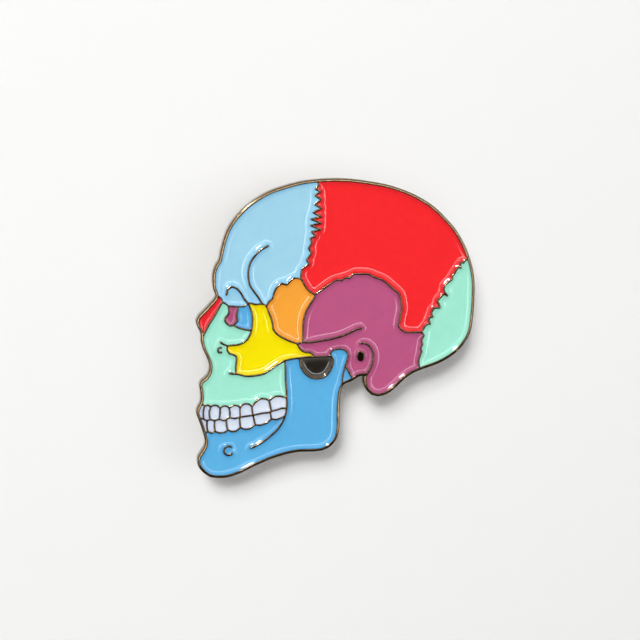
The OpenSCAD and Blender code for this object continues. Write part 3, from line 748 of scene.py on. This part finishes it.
# Spring strip is a cooler grey and a little duller
spring = scratched("spring_steel", "#d2d0ca", "#b4b1aa", rough=0.3)
paint(plate, nickel)
for key, piece in fittings.items():
    slot = ("black_nickel" if key.endswith("post") else
            "brass" if "clutch" in key else "spring_steel")
    paint(piece, {"black_nickel": nickel, "brass": brass, "spring_steel": spring}[slot])
print("materials:", sorted(m.name for m in bpy.data.materials))

# %% [markdown]
# ## Floor, light and camera
#
# The pin lies on its clutches on a plain pale floor, and the camera looks down on it, a little from
# the crown's and the nose's side. Two lamps stand high on that side. One large lamp could give all
# the light, but a gloss would mirror it as a broad white patch. So a small one draws the bright
# points, and a broad one that no gloss mirrors softens the shadow.

# %% Place of the camera and the lamps
# The middle of the picture, on the pin's top, and the width that the picture shows there
centre = Vector((-2.04 * MM, 1.03 * MM, top_z))
PICTURE_WIDTH = 76.8 * MM
LENS, SENSOR = 100.0, 36.0
# The camera leans this much towards the nose and this much towards the crown
LEAN = math.tan(math.radians(9))
CAMERA_TILT = (-LEAN, LEAN, 1.0)


def aim(obj, target):
    """Turns a lamp or camera at the target, with the crown upwards in the picture."""
    way = (obj.location - target).normalized()
    across = Vector((0, 1, 0)).cross(way).normalized()
    up = way.cross(across)
    turn = np.array([list(across), list(up), list(way)]).T
    obj.matrix_world = Matrix.LocRotScale(obj.location, Matrix(turn.tolist()).to_quaternion(), None)


# How far the lamps are from the pin, in metres
LAMP_DISTANCE = 0.6


def lamp(name, direction, size, share):
    """A round white lamp that gives a white surface facing it that share of its light."""
    data = bpy.data.lights.new(name, "AREA")
    data.shape = "DISK"
    data.size = size
    data.energy = share * math.pi**2 * LAMP_DISTANCE**2
    data.color = (1, 1, 1)
    obj = bpy.data.objects.new(name, data)
    bpy.context.collection.objects.link(obj)
    obj.location = centre + Vector(direction).normalized() * LAMP_DISTANCE
    aim(obj, centre)
    return obj


print("middle of the picture in mm:", np.round(np.array(centre) / MM, 2).tolist())

# %% Floor and lamps
bpy.ops.mesh.primitive_plane_add(size=3.0, location=(0, 0, 0))
floor = bpy.context.object
floor.name = "floor"
floor_material, _, floor_shader = new_material("floor_white")
floor_shader.inputs["Base Color"].default_value = linear("#f9f9f8")
floor_shader.inputs["Roughness"].default_value = 0.9
paint(floor, floor_material)

lamp("key", (-0.21, 0.33, 1.0), size=0.05, share=0.22)
broad = lamp("broad", (-0.26, 0.4, 1.0), size=0.15, share=0.49)
broad.visible_glossy = False

# %% [markdown]
# ### Sky
#
# Round the camera are two soft lights bent into arcs, open towards the chin: a thin bright one and
# a broad dim one outside it. The bright one shows in the enamel as the thin pale threads beside the
# lines, and in the sloping rim as a cream band. Curved lamps could give them, but arcs drawn in
# the sky are even and leave no shadow. Each lies between two angles from the direction that a level
# surface shows to the camera.

# %% Sky
MIRRORED = Vector((-CAMERA_TILT[0], -CAMERA_TILT[1], 1.0)).normalized()
# For each arc: the angles in degrees where it begins, is full, is full no longer and ends, then
# the direction's Y up to which it is dark and from which it is full, and its brightness
ARCS = [((16.0, 16.8, 20.0, 21.2), (-0.32, -0.2), 6.8),
        ((24.0, 27.0, 34.0, 38.0), (-0.25, 0.05), 1.1)]
# Brightness of the sky at its sides, straight overhead, and added at the horizon
SKY_SIDES, SKY_TOP, HORIZON = 0.1, 0.02, 0.6
# The direction's Z between which the sides turn into the top, and the horizon fades out
SIDES_TO_TOP = (0.7, 0.93)
HORIZON_FADE = (0.05, 0.3)
world = bpy.data.worlds.new("studio")
bpy.context.scene.world = world
world.use_nodes = True
sky = world.node_tree


def ramp(value, start, end, first, last):
    """first where value is at start, last where it is at end, and between them between."""
    return add(sky, "ShaderNodeMapRange", {"Value": value, "From Min": start, "From Max": end,
                                           "To Min": first, "To Max": last}).outputs[0]


def join(a, b, operation):
    """One value worked out from two."""
    return add(sky, "ShaderNodeMath", {0: a, 1: b}, operation=operation).outputs[0]


way = add(sky, "ShaderNodeTexCoord").outputs["Generated"]
split = add(sky, "ShaderNodeSeparateXYZ", {"Vector": way})
off = add(sky, "ShaderNodeVectorMath", {0: way, 1: tuple(MIRRORED)},
          operation="DOT_PRODUCT").outputs["Value"]
strength = join(ramp(split.outputs["Z"], *SIDES_TO_TOP, SKY_SIDES, SKY_TOP),
                ramp(split.outputs["Z"], *HORIZON_FADE, HORIZON, 0.0), "ADD")
for angles, opening, bright in ARCS:
    begins, full, fades, ends = (math.cos(math.radians(angle)) for angle in angles)
    ring = join(ramp(off, ends, fades, 0.0, 1.0), ramp(off, full, begins, 1.0, 0.0), "MULTIPLY")
    arc = join(ring, ramp(split.outputs["Y"], *opening, 0.0, bright), "MULTIPLY")
    strength = join(strength, arc, "ADD")
sky.nodes["Background"].inputs["Color"].default_value = (1, 1, 1, 1)
sky.links.new(strength, sky.nodes["Background"].inputs["Strength"])
print("sky nodes:", len(sky.nodes))

# %% [markdown]
# ### Camera
#
# A long lens from far away keeps the pin's outline undistorted, as in a picture for a shop. A short
# lens close by would show the same width, but it would swell the middle of the skull.

# %% Camera
camera_data = bpy.data.cameras.new("camera")
camera_data.lens = LENS
camera_data.sensor_width = SENSOR
camera_data.clip_start = 0.01
camera = bpy.data.objects.new("camera", camera_data)
bpy.context.collection.objects.link(camera)
camera.location = centre + Vector(CAMERA_TILT).normalized() * (PICTURE_WIDTH * LENS / SENSOR)
aim(camera, centre)
bpy.context.scene.camera = camera
bpy.context.scene.view_settings.view_transform = "Standard"
print("camera at mm:", np.round(np.array(camera.location) / MM, 1).tolist())
